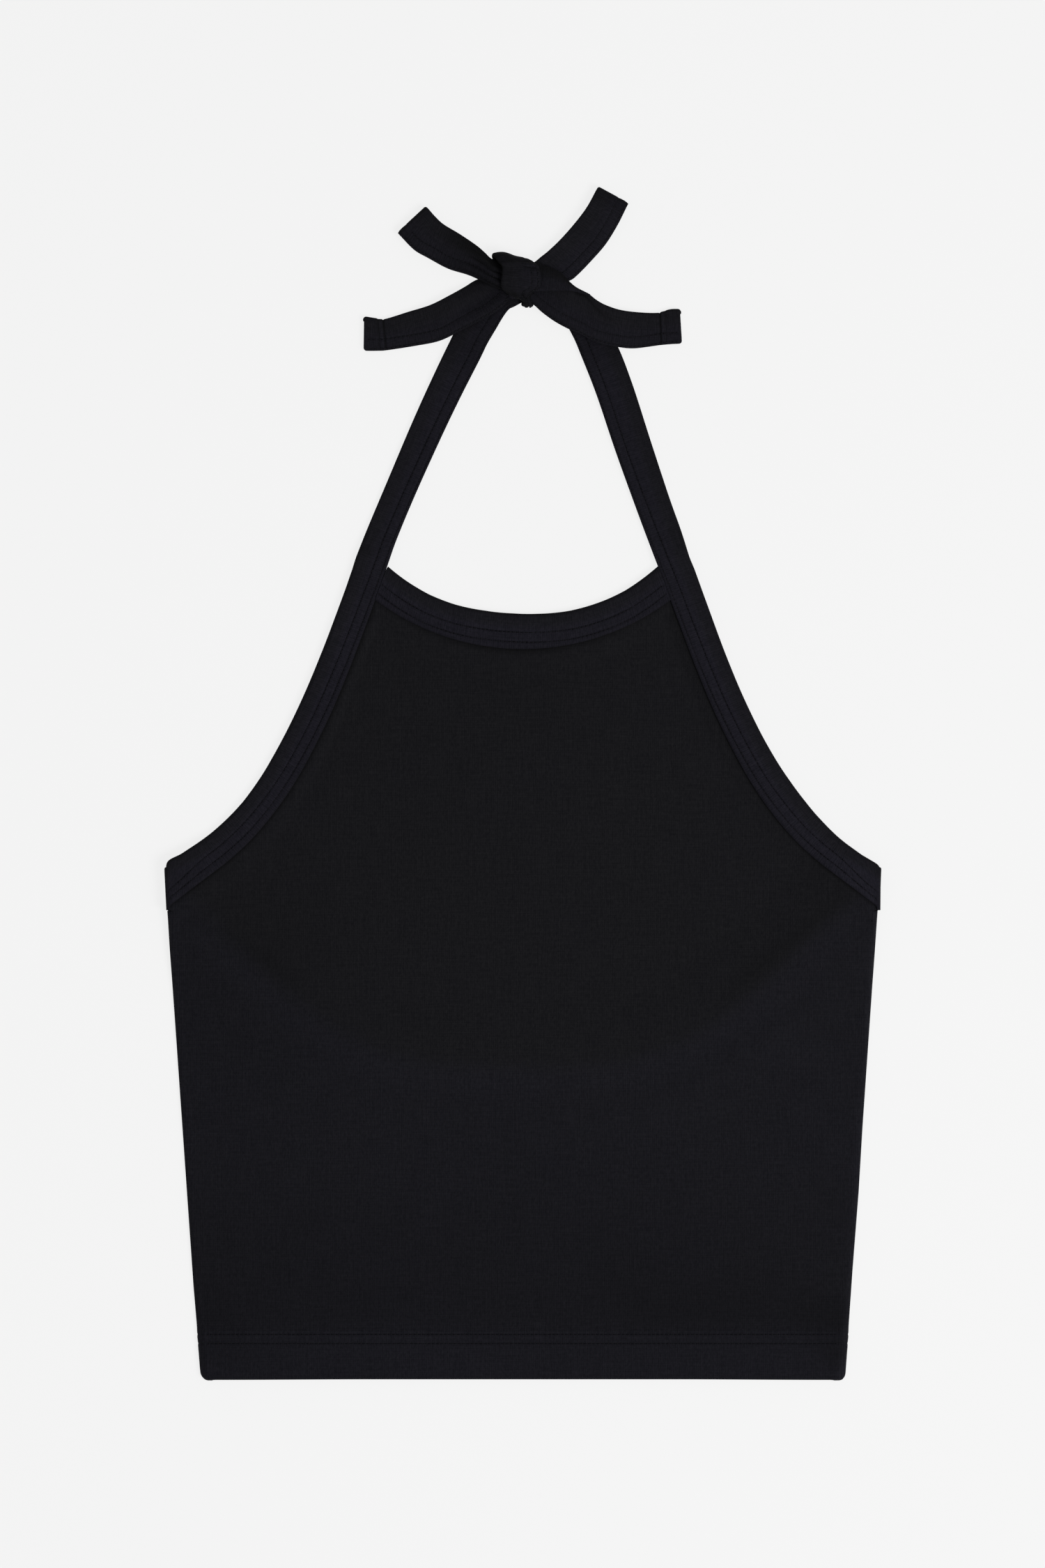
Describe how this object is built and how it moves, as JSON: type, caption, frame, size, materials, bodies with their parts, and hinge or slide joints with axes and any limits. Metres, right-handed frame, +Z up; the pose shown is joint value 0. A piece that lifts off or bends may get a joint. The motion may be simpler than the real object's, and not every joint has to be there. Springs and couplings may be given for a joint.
{
  "type": "halter neck top",
  "caption": "Cropped halter neck top in fine rib jersey, laid flat: bound neckline, armholes and scooped back, a turned hem, and straps tied in a bow at the nape.",
  "frame": {"origin": "middle of the garment's outline, on the surface it lies on", "axes": "+X across the garment to the viewer's right, +Y from the hem to the bow, +Z up off the surface, out of the front"},
  "size_m": [0.38, 0.6338, 0.0107],
  "materials": {
    "body_jersey": "matt fine rib knit, black",
    "binding_jersey": "matt fine rib knit cut crosswise, black"
  },
  "bodies": {
    "root": {"front_panel": "body_jersey", "back_panel": "body_jersey", "back_binding": "binding_jersey", "neck_binding": "binding_jersey", "armhole_strap_left": "binding_jersey", "armhole_strap_right": "binding_jersey", "loop_left": "binding_jersey", "loop_right": "binding_jersey", "tail_left": "binding_jersey", "tail_right": "binding_jersey", "knot_wrap": "binding_jersey", "knot_roll": "binding_jersey", "knot_nub": "binding_jersey"}
  },
  "joints": []
}
